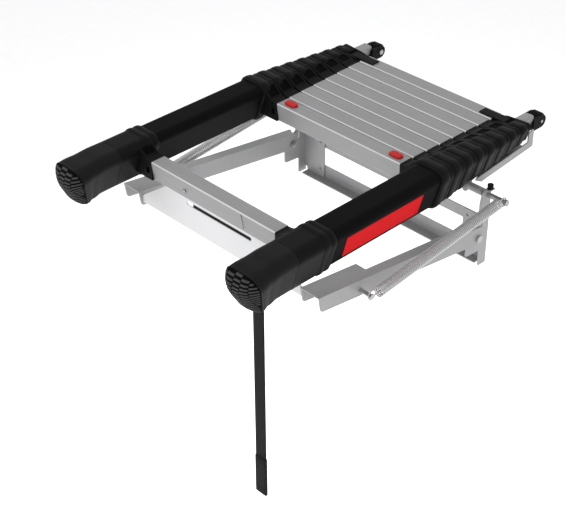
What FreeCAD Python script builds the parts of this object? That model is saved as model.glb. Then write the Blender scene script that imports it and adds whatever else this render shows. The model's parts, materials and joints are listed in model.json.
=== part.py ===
"""Telescopic loft ladder, stowed on its sprung swing-down hatch mount.

Millimetres, +Z up, X across the ladder, -Y towards the feet.  The origin is the middle of the
screw pattern on the back of the mount, where it is screwed to the hatch frame.
Every driving dimension is a cell of the sheet named Sizes.
"""
import math
import os

import FreeCAD
import Part
import Sketcher
from FreeCAD import Placement, Rotation, Vector

doc = FreeCAD.newDocument("telescopic_loft_ladder")
sheet = doc.addObject("Spreadsheet::Sheet", "Sizes")

SIZES = {
    # ladder
    "rung_count": 9,
    "stack_front": -161.0,       # front of the first stacked rung
    "rung_pitch": 33.5,          # one stacked rung to the next
    "rung_spacing": 300.0,       # one pulled-out rung to the next
    "rung_top": 190.0,
    "rung_width": 31.8,          # top face, along the stiles
    "rung_taper": 5.0,           # how far the lower edges step in
    "rung_height": 38.0,
    "rung_wall": 1.8,
    "rung_half": 151.5,          # half the bare length of the first stacked rung
    "rung_half_step": 1.5,       # what each rung gains as the stiles get slimmer
    "first_rung_half": 153.0,
    # stile section: the hull of three circles about (stile_x, stile_z)
    "stile_x": 215.5,
    "stile_z": 179.3,
    "inner_x": -16.5, "inner_z": 18.0, "inner_radius": 13.0,
    "outer_x": 15.3, "outer_z": 16.0, "outer_radius": 15.0,
    "lower_x": 2.9, "lower_z": -30.7, "lower_radius": 14.0,
    "centre_step": 0.07,         # each slimmer tube pulls its circles in by this share
    "radius_step": 1.3,          # and its radii by this much
    "tube_wall": 1.3,
    "tube_start": -545.0,
    "tube_start_step": 4.0,
    "tube_end_inset": 27.0,      # from a rung's front to the end of the tube inside its collar
    # collars
    "collar_front": 2.0,         # how far a collar starts before its rung
    "collar_length": 33.0,
    "collar_grow": 2.6,
    "bead_grow": 5.0,
    "bead_start": 3.0,
    "bead_length": 15.0,
    "slide_gap": 0.35,
    "lug_height": 36.0,
    "lug_long": 30.0,
    "lug_drop": 1.5,
    "lug_hole": 9.0,
    "lug_hole_depth": 6.0,
    "first_collar_start": -501.0,
    "first_collar_length": 86.0,
    "first_bead_length": 16.0,
    # feet
    "boot_start": -503.0,
    "boot_grow": 3.6,
    "sole_grow": 7.0,
    "sole_drop": 6.0,
    "sole_tilt": 18.0,
    # strap
    "strap_x": 219.0,
    "strap_y": -561.0,
    "strap_width": 25.0,
    "strap_thick": 2.0,
    "strap_top": 132.0,
    "strap_bottom": -266.0,
    "hem_high": 81.0,
    # end pieces
    "stub_x": 199.5,
    "stub_top": 190.5,
    "stub_end": 138.0,
    "wheel_x": 199.0,
    "wheel_y": 161.0,
    "wheel_z": 171.0,
    "wheel_radius": 15.0,
    "wheel_width": 20.0,
    "cheek_thick": 3.5,
    "cheek_half": 12.5,
    "axle_radius": 3.0,
    # buttons and the locking pins they draw back
    "button_x": 129.0,
    "button_long": 28.0,
    "button_wide": 15.0,
    "button_high": 5.0,
    "button_travel": 8.0,
    "stem_long": 7.0,
    "stem_wide": 5.6,
    "pin_z": 172.0,
    "pin_radius": 3.0,
    "pin_end": 194.8,
    # label panel
    "label_start": -388.0,
    "label_long": 183.0,
    "label_high": 43.0,
    "label_thick": 0.4,
    # hatch mount
    "sheet_thick": 2.5,
    "bracket_outer": 234.0,
    "bracket_inner": 177.5,
    "web_bottom": -47.7,
    "web_top": 43.0,
    "flange_bottom": -51.0,
    "flange_top": 112.0,
    "mount_hole_x": 188.0,
    "mount_hole_z": 31.0,
    "mount_hole_radius": 3.0,
    "bar_half": 224.0,
    "lower_bar_top": -21.0,
    "lower_bar_reach": 22.0,
    "upper_bar_bottom": 20.0,
    "upper_bar_top": 42.0,
    "rod_y": -11.0,
    "rod_z": 98.5,
    "rod_radius": 5.0,
    "rod_start": 180.5,
    "rod_end": 277.0,
    "collar_radius": 7.5,
    "pivot_y": -46.0,
    "pivot_z": 26.0,
    "pivot_radius": 4.0,
    "fit_gap": 0.08,
    "side_gap": 0.4,
    "bumper_x": 237.5,
    "bumper_radius": 5.5,
    "bumper_height": 9.0,
    # cradle
    "arm_outer": 246.5,
    "arm_inner_front": 203.5,
    "arm_inner_rear": 226.0,
    "arm_front": -453.5,
    "arm_front_top": 104.0,
    "arm_front_bottom": 74.0,
    "arm_top_slope": -0.135,
    "arm_bottom_slope": -0.155,
    "arm_step": -322.0,
    "plate_y": -445.5,
    "plate_bottom": 80.0,
    "plate_top": 151.4,
    "plate_shoulder": 138.0,
    "peg_y": -356.0,
    "peg_z": 71.0,
    "peg_radius": 4.0,
    "peg_end": 274.0,
    # springs
    "spring_x": 269.0,
    "coil_radius": 10.0,
    "coil_wire": 2.8,
    "coil_front_y": -338.0, "coil_front_z": 68.8,
    "coil_rear_y": -26.5, "coil_rear_z": 101.6,
    "loop_radius": 8.7,
    "loop_wire": 1.3,
    "shank_long": 64.0,
    "tail_long": 22.0,
    # carrier
    "rail_inner": 184.5,
    "rail_outer": 226.0,
    "rail_front_z": 127.0,
    "rail_rear_y": 121.0,
    "rail_rear_z": 141.0,
    "sleeve_radius": 7.5,
    "carrier_bolt_y": 88.0,
    "carrier_bolt_x": 200.0,
    "carrier_bolt_radius": 3.0,
}

for row, (name, number) in enumerate(SIZES.items(), start=1):
    sheet.set(f"A{row}", name)
    sheet.set(f"B{row}", repr(number))
    sheet.setAlias(f"B{row}", name)
doc.recompute()


def size(name):
    return SIZES[name]


def bind(item, prop, expression):
    """Drive one property from the sheet; a bare number is set as it is."""
    item.setExpression(prop, str(expression))


def place(item, x="0", y="0", z="0"):
    for axis, expression in zip("xyz", (x, y, z)):
        bind(item, f"Placement.Base.{axis}", expression)
    return item


# ---- building blocks ---------------------------------------------------------------------------
PLANES = {"XY": "XY_Plane", "XZ": "XZ_Plane", "YZ": "YZ_Plane"}


def new_body(label):
    body = doc.addObject("PartDesign::Body", label)
    body.Label = label
    return body


def new_sketch(body, plane, name, offset=0.0):
    """A sketch on one of the body's origin planes, moved along the plane's normal."""
    sketch = body.newObject("Sketcher::SketchObject", name)
    origin = [item for item in body.Origin.OriginFeatures if item.Role == PLANES[plane]][0]
    sketch.AttachmentSupport = (origin, [""])
    sketch.MapMode = "FlatFace"
    sketch.AttachmentOffset = Placement(Vector(0, 0, offset), Rotation())
    return sketch


def add_circle(sketch, x, z, radius):
    """A circle whose centre and radius follow expressions."""
    circle = Part.Circle(Vector(1, 1, 0), Vector(0, 0, 1), 1.0)
    index = sketch.addGeometry(circle, False)
    number = sketch.addConstraint(Sketcher.Constraint("Radius", index, 1.0))
    sketch.setExpression(f"Constraints[{number}]", radius)
    number = sketch.addConstraint(Sketcher.Constraint("DistanceX", -1, 1, index, 3, 1.0))
    sketch.setExpression(f"Constraints[{number}]", x)
    number = sketch.addConstraint(Sketcher.Constraint("DistanceY", -1, 1, index, 3, 1.0))
    sketch.setExpression(f"Constraints[{number}]", z)


def add_outline(sketch, corners):
    """A closed outline through (u, v, radius) corners, each rounded by its radius."""
    points = [Vector(u, v, 0) for u, v, _ in corners]
    ends = []
    for index, (_, _, radius) in enumerate(corners):
        here = points[index]
        back = (points[index - 1] - here).normalize()
        ahead = (points[(index + 1) % len(points)] - here).normalize()
        if radius:
            half = back.getAngle(ahead) / 2
            reach = radius / math.tan(half)
            centre = here + (back + ahead).normalize() * (radius / math.sin(half))
            middle = centre + (here - centre).normalize() * radius
            arc = Part.Arc(here + back * reach, middle, here + ahead * reach)
            sketch.addGeometry(arc, False)
            ends.append((here + back * reach, here + ahead * reach))
        else:
            ends.append((here, here))
    for index, (_, leave) in enumerate(ends):
        arrive = ends[(index + 1) % len(ends)][0]
        if (arrive - leave).Length > 1e-6:
            sketch.addGeometry(Part.LineSegment(leave, arrive), False)


CORNERS = ("outer", "inner", "lower")


def hull_values(step, grow):
    """The three circles of a stile section, as numbers."""
    pull = 1 - step * size("centre_step")
    circles = []
    for corner in CORNERS:
        centre = Vector(size(corner + "_x") * pull, size(corner + "_z") * pull, 0)
        circles.append((centre, size(corner + "_radius") - step * size("radius_step") + grow))
    return circles


def tangent_normal(first, second):
    """The outward normal of the line that touches two circles, first to second, anticlockwise."""
    (start, start_radius), (end, end_radius) = first, second
    along = end - start
    share = (start_radius - end_radius) / along.Length
    along.normalize()
    right = Vector(along.y, -along.x, 0)
    return along * share + right * math.sqrt(1 - share * share)


def add_hull(sketch, step, grow_expression="0", grow=0.0):
    """One loop of the stile section: three arcs joined by tangent lines, driven by the sheet."""
    circles = hull_values(step, grow)
    first = sketch.GeometryCount
    normals = [tangent_normal(circles[i - 1], circles[i]) for i in range(3)]
    for index, (centre, radius) in enumerate(circles):
        arriving, leaving = normals[index], normals[(index + 1) % 3]
        start = math.atan2(arriving.y, arriving.x)
        end = math.atan2(leaving.y, leaving.x)
        if end < start:
            end += 2 * math.pi
        sketch.addGeometry(Part.ArcOfCircle(Part.Circle(centre, Vector(0, 0, 1), radius), start, end), False)
    for index in range(3):
        follower = (index + 1) % 3
        normal = normals[follower]
        centre, radius = circles[index]
        next_centre, next_radius = circles[follower]
        line = Part.LineSegment(centre + normal * radius, next_centre + normal * next_radius)
        sketch.addGeometry(line, False)
    for index in range(3):
        follower = (index + 1) % 3
        line = first + 3 + index
        sketch.addConstraint(Sketcher.Constraint("Tangent", first + index, 2, line, 1))
        sketch.addConstraint(Sketcher.Constraint("Tangent", line, 2, first + follower, 1))
    pull = f"(1 - {step} * Sizes.centre_step)"
    for index, corner in enumerate(CORNERS):
        centre, radius = circles[index]
        arc = first + index
        number = sketch.addConstraint(Sketcher.Constraint("Radius", arc, radius))
        less = f"Sizes.{corner}_radius - {step} * Sizes.radius_step + {grow_expression}"
        sketch.setExpression(f"Constraints[{number}]", less)
        number = sketch.addConstraint(Sketcher.Constraint("DistanceX", -1, 1, arc, 3, centre.x))
        sketch.setExpression(f"Constraints[{number}]", f"Sizes.{corner}_x * {pull}")
        number = sketch.addConstraint(Sketcher.Constraint("DistanceY", -1, 1, arc, 3, centre.y))
        sketch.setExpression(f"Constraints[{number}]", f"Sizes.{corner}_z * {pull}")


def pad(body, sketch, length, backwards=False):
    feature = body.newObject("PartDesign::Pad", sketch.Name + "_pad")
    feature.Profile = sketch
    bind(feature, "Length", length)
    feature.Reversed = backwards
    sketch.Visibility = False
    return feature


def hull_bar(name, step, start, length, grow="0", wall=None):
    """A bar or a tube of stile section, from y = start towards +Y."""
    body = new_body(name)
    sketch = new_sketch(body, "XZ", name + "_section")
    grown = eval_grow(grow)
    add_hull(sketch, step, grow, grown)
    if wall:
        add_hull(sketch, step, f"{grow} - {wall}", grown - eval_grow(wall))
    pad(body, sketch, length, backwards=True)
    return place(body, "Sizes.stile_x", start, "Sizes.stile_z")


def eval_grow(expression):
    """The number behind a growth such as Sizes.tube_wall, or behind a plain number."""
    if expression.startswith("Sizes."):
        return size(expression[len("Sizes."):])
    return float(expression)


def box(name, x, y, z, long, wide, high):
    item = doc.addObject("Part::Box", name)
    for prop, expression in (("Length", long), ("Width", wide), ("Height", high)):
        bind(item, prop, expression)
    return place(item, x, y, z)


def rod(name, x, y, z, radius, length, axis="X"):
    """A cylinder along X, Y or Z from its starting point."""
    item = doc.addObject("Part::Cylinder", name)
    bind(item, "Radius", radius)
    bind(item, "Height", length)
    turn = {"X": Rotation(Vector(0, 1, 0), 90), "Y": Rotation(Vector(1, 0, 0), -90), "Z": Rotation()}
    item.Placement = Placement(Vector(), turn[axis])
    return place(item, x, y, z)


def plate(name, plane, corners, thick, holes=(), x="0", y="0", z="0", slots=()):
    """A flat sheet with rounded corners and round holes, padded along +X or +Y."""
    body = new_body(name)
    sketch = new_sketch(body, plane, name + "_outline")
    add_outline(sketch, corners)
    for u, v, radius in holes:
        add_circle(sketch, u, v, radius)
    for outline in slots:
        add_outline(sketch, outline)
    pad(body, sketch, thick, backwards=(plane == "XZ"))
    return place(body, x, y, z)


def fuse(name, *items):
    item = doc.addObject("Part::MultiFuse", name)
    item.Shapes = list(items)
    item.Label = name
    return item


def cut(name, base, tool):
    item = doc.addObject("Part::Cut", name)
    item.Base = base
    item.Tool = tool
    item.Label = name
    return item


def group(name, *items):
    item = doc.addObject("Part::Compound", name)
    item.Links = list(items)
    item.Label = name
    return item


def mirror(name, source):
    item = doc.addObject("Part::Mirroring", name)
    item.Source = source
    item.Normal = Vector(1, 0, 0)
    item.Label = name
    return item


nodes = []


def node(item, label):
    item.Label = label
    nodes.append(item)
    return item


def both_sides(label, right):
    """One node that holds the right-hand piece and its mirror image."""
    return node(group(label, right, mirror(label + "_other", right)), label)


def left_and_right(label, right):
    """Two nodes: label_right and its mirror image label_left."""
    node(right, label + "_right")
    node(mirror(label + "_left", right), label + "_left")


# ---- ladder ------------------------------------------------------------------------------------
def rung_front(rung):
    """Expression for the front of a rung; the first one stands a full spacing before the stack."""
    if rung == 1:
        return "(Sizes.stack_front - Sizes.rung_spacing)"
    return f"(Sizes.stack_front + {rung - 2} * Sizes.rung_pitch)"


def rung_half(rung):
    if rung == 1:
        return "Sizes.first_rung_half"
    return f"(Sizes.rung_half + {rung - 2} * Sizes.rung_half_step)"


BUTTON_Y = "(Sizes.stack_front + Sizes.rung_width / 2)"


def rung_section(grow, radius):
    wide, high, taper = size("rung_width"), size("rung_height"), size("rung_taper")
    return [
        (-grow, grow, radius),
        (wide + grow, grow, radius),
        (wide - taper + grow, -high - grow, radius),
        (taper - grow, -high - grow, radius),
    ]


def rung_bar(rung):
    """The hollow tread of one rung."""
    name = f"rung_{rung}_tread"
    body = new_body(name)
    sketch = new_sketch(body, "YZ", name + "_section")
    add_outline(sketch, rung_section(0, 2.5))
    add_outline(sketch, rung_section(-size("rung_wall"), 1.2))
    pad(body, sketch, f"2 * {rung_half(rung)}")
    return place(body, f"-{rung_half(rung)}", rung_front(rung), "Sizes.rung_top")


def button_slot(side):
    """The opening in the tread that lets a button's stem travel towards the middle."""
    inner = "Sizes.button_x - Sizes.button_travel - Sizes.stem_long / 2 - 1"
    start = inner if side > 0 else "-Sizes.button_x - Sizes.stem_long / 2 - 1"
    return box(f"button_slot_{'right' if side > 0 else 'left'}", start,
               f"{BUTTON_Y} - Sizes.stem_wide / 2 - 0.6", "Sizes.rung_top - 8",
               "Sizes.button_travel + Sizes.stem_long + 2", "Sizes.stem_wide + 1.2", "12")


def pin_bore(name):
    """The hole in the stile that a locking pin slides through."""
    return rod(name, "Sizes.rung_half - 5", BUTTON_Y, "Sizes.pin_z", "Sizes.pin_radius + Sizes.slide_gap",
               "Sizes.pin_end - Sizes.rung_half + 7")


def make_rung(rung):
    bar = rung_bar(rung)
    if rung == 2:
        slots = fuse("button_slots", button_slot(1), button_slot(-1))
        bar = cut("rung_2_slotted", bar, slots)
    node(bar, f"rung_{rung}")


def make_tubes(section):
    """The pair of stile tubes of one section; section 1 is the widest."""
    step = section - 1
    start = f"Sizes.tube_start + {step} * Sizes.tube_start_step"
    end = f"{rung_front(section + 1)} + Sizes.tube_end_inset"
    tube = hull_bar(f"tube_{section}", step, start, f"{end} - ({start})", wall="Sizes.tube_wall")
    if section == 1:
        tube = cut("tube_1_drilled", tube, pin_bore("tube_pin_bore"))
    both_sides(f"tubes_{section}", tube)


def collar_lug(rung, step, grow):
    """The block of a collar that holds the end of the tread and ramps up onto the ring."""
    name = f"lug_{rung}"
    front = rung_front(rung)
    pull = 1 - step * size("centre_step")
    radius = size("inner_radius") - step * size("radius_step") + grow
    half = size("first_rung_half") if rung == 1 else size("rung_half") + (rung - 2) * size("rung_half_step")
    top = size("rung_top") - size("lug_drop")
    bottom = top - size("lug_height")
    stile_x, stile_z = size("stile_x"), size("stile_z")
    crest_x = stile_x + size("inner_x") * pull - radius / 2
    crest_z = stile_z + size("inner_z") * pull + radius * math.sqrt(3) / 2
    block = plate(name + "_block", "XZ", [
        (half, bottom, 0), (half, top, 0), (half + 9, top, 8), (crest_x, crest_z, 3),
        (stile_x, crest_z, 0), (stile_x, bottom, 0)], "Sizes.lug_long", y=front)
    hole = box(name + "_hole", f"{rung_half(rung)} + 6", f"{front} - 1", "Sizes.rung_top - 24",
               "Sizes.lug_hole", "Sizes.lug_hole_depth + 1", "Sizes.lug_hole + 3")
    return cut(name, block, hole)


def collar_tab(rung):
    """The flat tongue of the last collar, which lies on the end of the last tread."""
    return box("collar_tab", "131", f"{rung_front(rung)} + 3.5", "Sizes.rung_top", "62", "20", "3")


def carrier_bolt_shank(name):
    return rod(name, "Sizes.carrier_bolt_x", "Sizes.carrier_bolt_y", "Sizes.rail_rear_z - 4.7",
               "Sizes.carrier_bolt_radius", "26", "Z")


def make_collar(rung):
    """The plastic collar at the top of a section: it holds a rung and guides the next tube."""
    step = rung - 2
    name = f"collar_{rung}"
    front = f"{rung_front(rung)} - Sizes.collar_front"
    ring = hull_bar(name + "_ring", step, front, "Sizes.collar_length", "Sizes.collar_grow")
    bead = hull_bar(name + "_bead", step, f"{front} + Sizes.bead_start", "Sizes.bead_length",
                    "Sizes.bead_grow")
    lug = collar_lug(rung, step, size("collar_grow"))
    blank = fuse(name + "_blank", ring, bead, lug)
    seat = f"{rung_front(rung)} + Sizes.tube_end_inset - ({front}) + 1"
    socket = hull_bar(name + "_socket", step, f"{front} - 1", seat)
    guide = hull_bar(name + "_guide", step + 1, f"{front} - 1", "Sizes.collar_length + 2",
                     "Sizes.slide_gap")
    openings = [socket, guide]
    if rung == 2:
        openings.append(pin_bore("collar_pin_bore"))
    if rung == size("rung_count"):
        blank = fuse(name + "_tabbed", blank, collar_tab(rung))
        openings.append(carrier_bolt_shank("collar_bolt_bore"))
    both_sides(f"collars_{rung}", cut(name, blank, fuse(name + "_bore", *openings)))


def make_first_collar():
    """The long collar that clamps the lowest rung to the widest tubes."""
    start = "Sizes.first_collar_start"
    ring = hull_bar("collar_1_ring", 0, start, "Sizes.first_collar_length", "Sizes.collar_grow")
    bead = hull_bar("collar_1_bead", 0, f"{start} + Sizes.first_collar_length - Sizes.first_bead_length - 8",
                    "Sizes.first_bead_length", "Sizes.bead_grow")
    lug = collar_lug(1, 0, size("collar_grow"))
    blank = fuse("collar_1_blank", ring, bead, lug)
    bore = hull_bar("collar_1_bore", 0, f"{start} - 1", "Sizes.first_collar_length + 2")
    both_sides("collars_1", cut("collar_1", blank, bore))


def make_foot():
    """The rubber boot: a sleeve that flares into a domed sole."""
    body = new_body("foot_blank")
    body_start = size("boot_start")
    tilt = size("sole_tilt")
    sections = (  # distance below the boot's top, growth, drop, tilt
        (0.0, size("boot_grow"), 0.0, 0.0),
        (31.0, size("boot_grow"), 0.0, 0.0),
        (56.0, size("boot_grow") + 1.4, size("sole_drop") / 2, tilt / 3),
        (78.0, size("sole_grow"), size("sole_drop"), tilt),
        (86.0, size("sole_grow") - 1.2, size("sole_drop"), tilt),
        (92.5, size("sole_grow") - 5.0, size("sole_drop"), tilt),
        (97.0, size("sole_grow") - 11.0, size("sole_drop"), tilt),
        (99.0, size("sole_grow") - 19.0, size("sole_drop"), tilt),
    )
    sketches = []
    for index, (depth, grow, drop, lean) in enumerate(sections):
        sketch = new_sketch(body, "XZ", f"foot_section_{index}", depth)
        sketch.AttachmentOffset = Placement(Vector(0, -drop, depth), Rotation(Vector(1, 0, 0), lean))
        add_hull(sketch, 0, f"{grow}", grow)
        sketches.append(sketch)
    loft = body.newObject("PartDesign::AdditiveLoft", "foot_loft")
    loft.Profile = sketches[0]
    loft.Sections = sketches[1:]
    loft.Ruled = True
    place(body, "Sizes.stile_x", str(body_start), "Sizes.stile_z")
    bore = hull_bar("foot_bore", 0, "Sizes.tube_start", "60")
    sleeve = cut("foot_sleeve", body, bore)
    node(mirror("rubber_foot_left", sleeve), "rubber_foot_left")
    slot = box("foot_strap_slot", "Sizes.strap_x - Sizes.strap_width / 2 - Sizes.side_gap",
               "Sizes.strap_y - Sizes.side_gap", "100", "Sizes.strap_width + 2 * Sizes.side_gap",
               "Sizes.strap_thick + 2 * Sizes.side_gap", "Sizes.strap_top + Sizes.side_gap - 100")
    node(cut("rubber_foot", sleeve, slot), "rubber_foot_right")


def make_strap():
    """The webbing that hangs straight down from the right foot, with its folded and sewn hem."""
    edge = "Sizes.strap_x - Sizes.strap_width / 2"
    webbing = box("strap_webbing", edge, "Sizes.strap_y", "Sizes.strap_bottom",
                  "Sizes.strap_width", "Sizes.strap_thick", "Sizes.strap_top - Sizes.strap_bottom")
    hem = box("strap_hem", edge, "Sizes.strap_y - Sizes.strap_thick", "Sizes.strap_bottom",
              "Sizes.strap_width", "3 * Sizes.strap_thick", "Sizes.hem_high")
    node(fuse("pull_strap", webbing, hem), "pull_strap")


def make_label():
    """A blank panel on the flat outer side of the right-hand tube."""
    circles = hull_values(0, 0.0)
    normal = tangent_normal(circles[2], circles[0])
    start = circles[2][0] + normal * circles[2][1]
    end = circles[0][0] + normal * circles[0][1]
    middle = (start + end) * 0.5
    tilt = math.degrees(math.atan2(normal.y, normal.x))
    panel = doc.addObject("Part::Box", "label_panel")
    bind(panel, "Length", "Sizes.label_thick")
    bind(panel, "Width", "Sizes.label_long")
    bind(panel, "Height", "Sizes.label_high")
    along = Rotation(Vector(0, 1, 0), -tilt)
    corner = along.multVec(Vector(0, 0, -size("label_high") / 2))
    panel.Placement = Placement(Vector(), along)
    place(panel, f"Sizes.stile_x + {middle.x + corner.x}", "Sizes.label_start",
          f"Sizes.stile_z + {middle.y + corner.z}")
    node(panel, "label_panel")


def make_buttons():
    """A thumb button on the first stacked rung and the locking pin that it draws out of the stile."""
    name = "release_button_right"
    cap = box(name + "_cap", "Sizes.button_x - Sizes.button_long / 2",
              f"{BUTTON_Y} - Sizes.button_wide / 2", "Sizes.rung_top + Sizes.slide_gap",
              "Sizes.button_long", "Sizes.button_wide", "Sizes.button_high")
    stem = box(name + "_stem", "Sizes.button_x - Sizes.stem_long / 2",
               f"{BUTTON_Y} - Sizes.stem_wide / 2", "Sizes.pin_z - Sizes.pin_radius - 1",
               "Sizes.stem_long", "Sizes.stem_wide",
               "Sizes.rung_top - Sizes.pin_z + Sizes.pin_radius + 2")
    pin_start = "Sizes.button_x + Sizes.stem_long / 2"
    pin = rod("lock_pin_right", pin_start, BUTTON_Y, "Sizes.pin_z", "Sizes.pin_radius",
              f"Sizes.pin_end - ({pin_start})")
    left_and_right("release_button", fuse("release_button", cap, stem))
    left_and_right("lock_pin", pin)


for number in range(1, size("rung_count") + 1):
    make_rung(number)
for number in range(1, size("rung_count")):
    make_tubes(number)
make_first_collar()
for number in range(2, size("rung_count") + 1):
    make_collar(number)
make_foot()
make_strap()
make_label()
make_buttons()


# ---- top end: tube stubs, forks and wheels -------------------------------------------------------
def make_ends():
    """Slant-ended stubs behind the last collar, each with a fork and a wheel."""
    last = size("rung_count") - 1
    start = f"({rung_front(size('rung_count'))} - Sizes.collar_front + Sizes.collar_length)"
    blank = hull_bar("end_stub_blank", last, start, f"Sizes.stub_end - {start}", wall="Sizes.tube_wall")
    place(blank, "Sizes.stub_x", start, "Sizes.stile_z")
    both_sides("end_tubes", blank)
    low, high = "Sizes.wheel_z - Sizes.cheek_half", "2 * Sizes.cheek_half"
    inner = "Sizes.wheel_x - Sizes.wheel_width / 2 - Sizes.side_gap - Sizes.cheek_thick"
    outer = "Sizes.wheel_x + Sizes.wheel_width / 2 + Sizes.side_gap"
    cap = box("fork_cap", inner, "Sizes.stub_end", low,
              "Sizes.wheel_width + 2 * Sizes.side_gap + 2 * Sizes.cheek_thick", "4", high)
    cheeks = []
    for name, edge in (("inner", inner), ("outer", outer)):
        reach = "Sizes.wheel_y - Sizes.stub_end"
        flat = box(f"fork_{name}_cheek", edge, "Sizes.stub_end", low, "Sizes.cheek_thick", reach, high)
        nose = rod(f"fork_{name}_nose", edge, "Sizes.wheel_y", "Sizes.wheel_z", "Sizes.cheek_half",
                   "Sizes.cheek_thick")
        cheeks.extend((flat, nose))
    bore = rod("fork_bore", "Sizes.wheel_x - 30", "Sizes.wheel_y", "Sizes.wheel_z", "Sizes.axle_radius", "60")
    both_sides("wheel_forks", cut("wheel_fork", fuse("fork_blank", cap, *cheeks), bore))
    shaft = rod("axle_shaft", f"{inner} - 1", "Sizes.wheel_y", "Sizes.wheel_z", "Sizes.axle_radius",
                "Sizes.wheel_width + 2 * Sizes.side_gap + 2 * Sizes.cheek_thick + 2")
    head = rod("axle_head", f"{inner} - 2.5", "Sizes.wheel_y", "Sizes.wheel_z", "Sizes.axle_radius + 2", "2.5")
    both_sides("wheel_axles", fuse("wheel_axle", shaft, head))
    tyre = rod("wheel_tyre", "Sizes.wheel_x - Sizes.wheel_width / 2", "Sizes.wheel_y", "Sizes.wheel_z",
               "Sizes.wheel_radius", "Sizes.wheel_width")
    hole = rod("wheel_hole", "Sizes.wheel_x - Sizes.wheel_width", "Sizes.wheel_y", "Sizes.wheel_z",
               "Sizes.axle_radius + Sizes.fit_gap", "2 * Sizes.wheel_width")
    left_and_right("end_wheel", cut("end_wheel", tyre, hole))


make_ends()


# ---- hatch mount ---------------------------------------------------------------------------------
def mount_holes():
    """The screw holes through bars and brackets, on both sides."""
    holes = []
    for side in (1, -1):
        for level in (1, -1):
            holes.append(rod(f"mount_hole_{len(holes)}", f"{side} * Sizes.mount_hole_x", "-10",
                             f"{level} * Sizes.mount_hole_z", "Sizes.mount_hole_radius", "20", "Y"))
    return fuse("mount_holes", *holes)


MOUNT_HOLES = mount_holes()


def make_bracket():
    """Folded bracket: a web behind, and a side flange that carries the top rod and the cradle pivot."""
    outer, inner, thick = size("bracket_outer"), size("bracket_inner"), size("sheet_thick")
    bottom, top = size("web_bottom"), size("web_top")
    web = plate("bracket_web", "XZ", [
        (inner, bottom, 2), (outer - thick - 6, bottom, 0), (outer - thick - 6, bottom + 6, 2),
        (outer, bottom + 8, 0), (outer, top, 0), (inner, top, 3)],
        "Sizes.sheet_thick", y="-2 * Sizes.sheet_thick")
    foot, crown = size("flange_bottom"), size("flange_top")
    pivot_y, pivot_z = size("pivot_y"), size("pivot_z")
    flange = plate("bracket_flange", "YZ", [
        (-thick, foot, 0), (-23, foot, 3), (-23, pivot_z - 42, 4), (pivot_y - 16, pivot_z - 39, 4),
        (pivot_y - 16, pivot_z + 4, 12), (pivot_y + 6, pivot_z + 17, 6), (-31, pivot_z + 24, 5),
        (-31, size("rod_z") - 12, 12), (-25, crown, 10), (-thick, crown, 5)],
        "Sizes.sheet_thick",
        holes=(("Sizes.rod_y", "Sizes.rod_z", "Sizes.rod_radius"),
               ("Sizes.pivot_y", "Sizes.pivot_z", "Sizes.pivot_radius")),
        slots=([(-24, 45, 1.4), (-24, 27, 1.4), (-21, 27, 1.4), (-21, 45, 1.4)],),
        x="Sizes.bracket_outer - Sizes.sheet_thick")
    shelf = box("bracket_shelf", "Sizes.bracket_outer - Sizes.sheet_thick", "-20",
                "Sizes.flange_top - Sizes.sheet_thick", "11", "17", "Sizes.sheet_thick")
    blank = fuse("bracket_blank", web, flange, shelf)
    left_and_right("mount_bracket", cut("mount_bracket", blank, MOUNT_HOLES))


def make_cross_bars():
    """The two bars that lie on the hatch frame: an angle below and a flat strip above."""
    web = box("lower_bar_web", "-Sizes.bar_half", "-Sizes.sheet_thick", "Sizes.web_bottom",
              "2 * Sizes.bar_half", "Sizes.sheet_thick", "Sizes.lower_bar_top - Sizes.web_bottom")
    shelf = box("lower_bar_shelf", "-Sizes.bar_half", "-Sizes.lower_bar_reach",
                "Sizes.web_bottom - Sizes.sheet_thick - 0.3", "2 * Sizes.bar_half",
                "Sizes.lower_bar_reach", "Sizes.sheet_thick")
    heel = box("lower_bar_heel", "-Sizes.bar_half", "-Sizes.sheet_thick",
               "Sizes.web_bottom - Sizes.sheet_thick", "2 * Sizes.bar_half", "Sizes.sheet_thick",
               "Sizes.sheet_thick")
    node(cut("lower_cross_bar", fuse("lower_bar_blank", web, shelf, heel), MOUNT_HOLES), "lower_cross_bar")
    upper = box("upper_bar_blank", "-Sizes.bar_half", "-Sizes.sheet_thick", "Sizes.upper_bar_bottom",
                "2 * Sizes.bar_half", "Sizes.sheet_thick", "Sizes.upper_bar_top - Sizes.upper_bar_bottom")
    node(cut("upper_cross_bar", upper, MOUNT_HOLES), "upper_cross_bar")


def make_rods():
    """The cross pins that carry the ladder and the rear ends of the springs."""
    shaft = rod("top_rod_shaft", "Sizes.rod_start", "Sizes.rod_y", "Sizes.rod_z", "Sizes.rod_radius",
                "Sizes.rod_end - Sizes.rod_start")
    clip = rod("top_rod_clip", "Sizes.rod_start + 0.6", "Sizes.rod_y", "Sizes.rod_z",
               "Sizes.collar_radius", "Sizes.rail_inner - Sizes.side_gap - Sizes.rod_start - 0.6")
    end = rod("top_rod_end", "Sizes.rod_end - 2.5", "Sizes.rod_y", "Sizes.rod_z", "Sizes.rod_radius + 1.2", "2.5")
    both_sides("top_rods", fuse("top_rod", shaft, clip, end))


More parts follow.
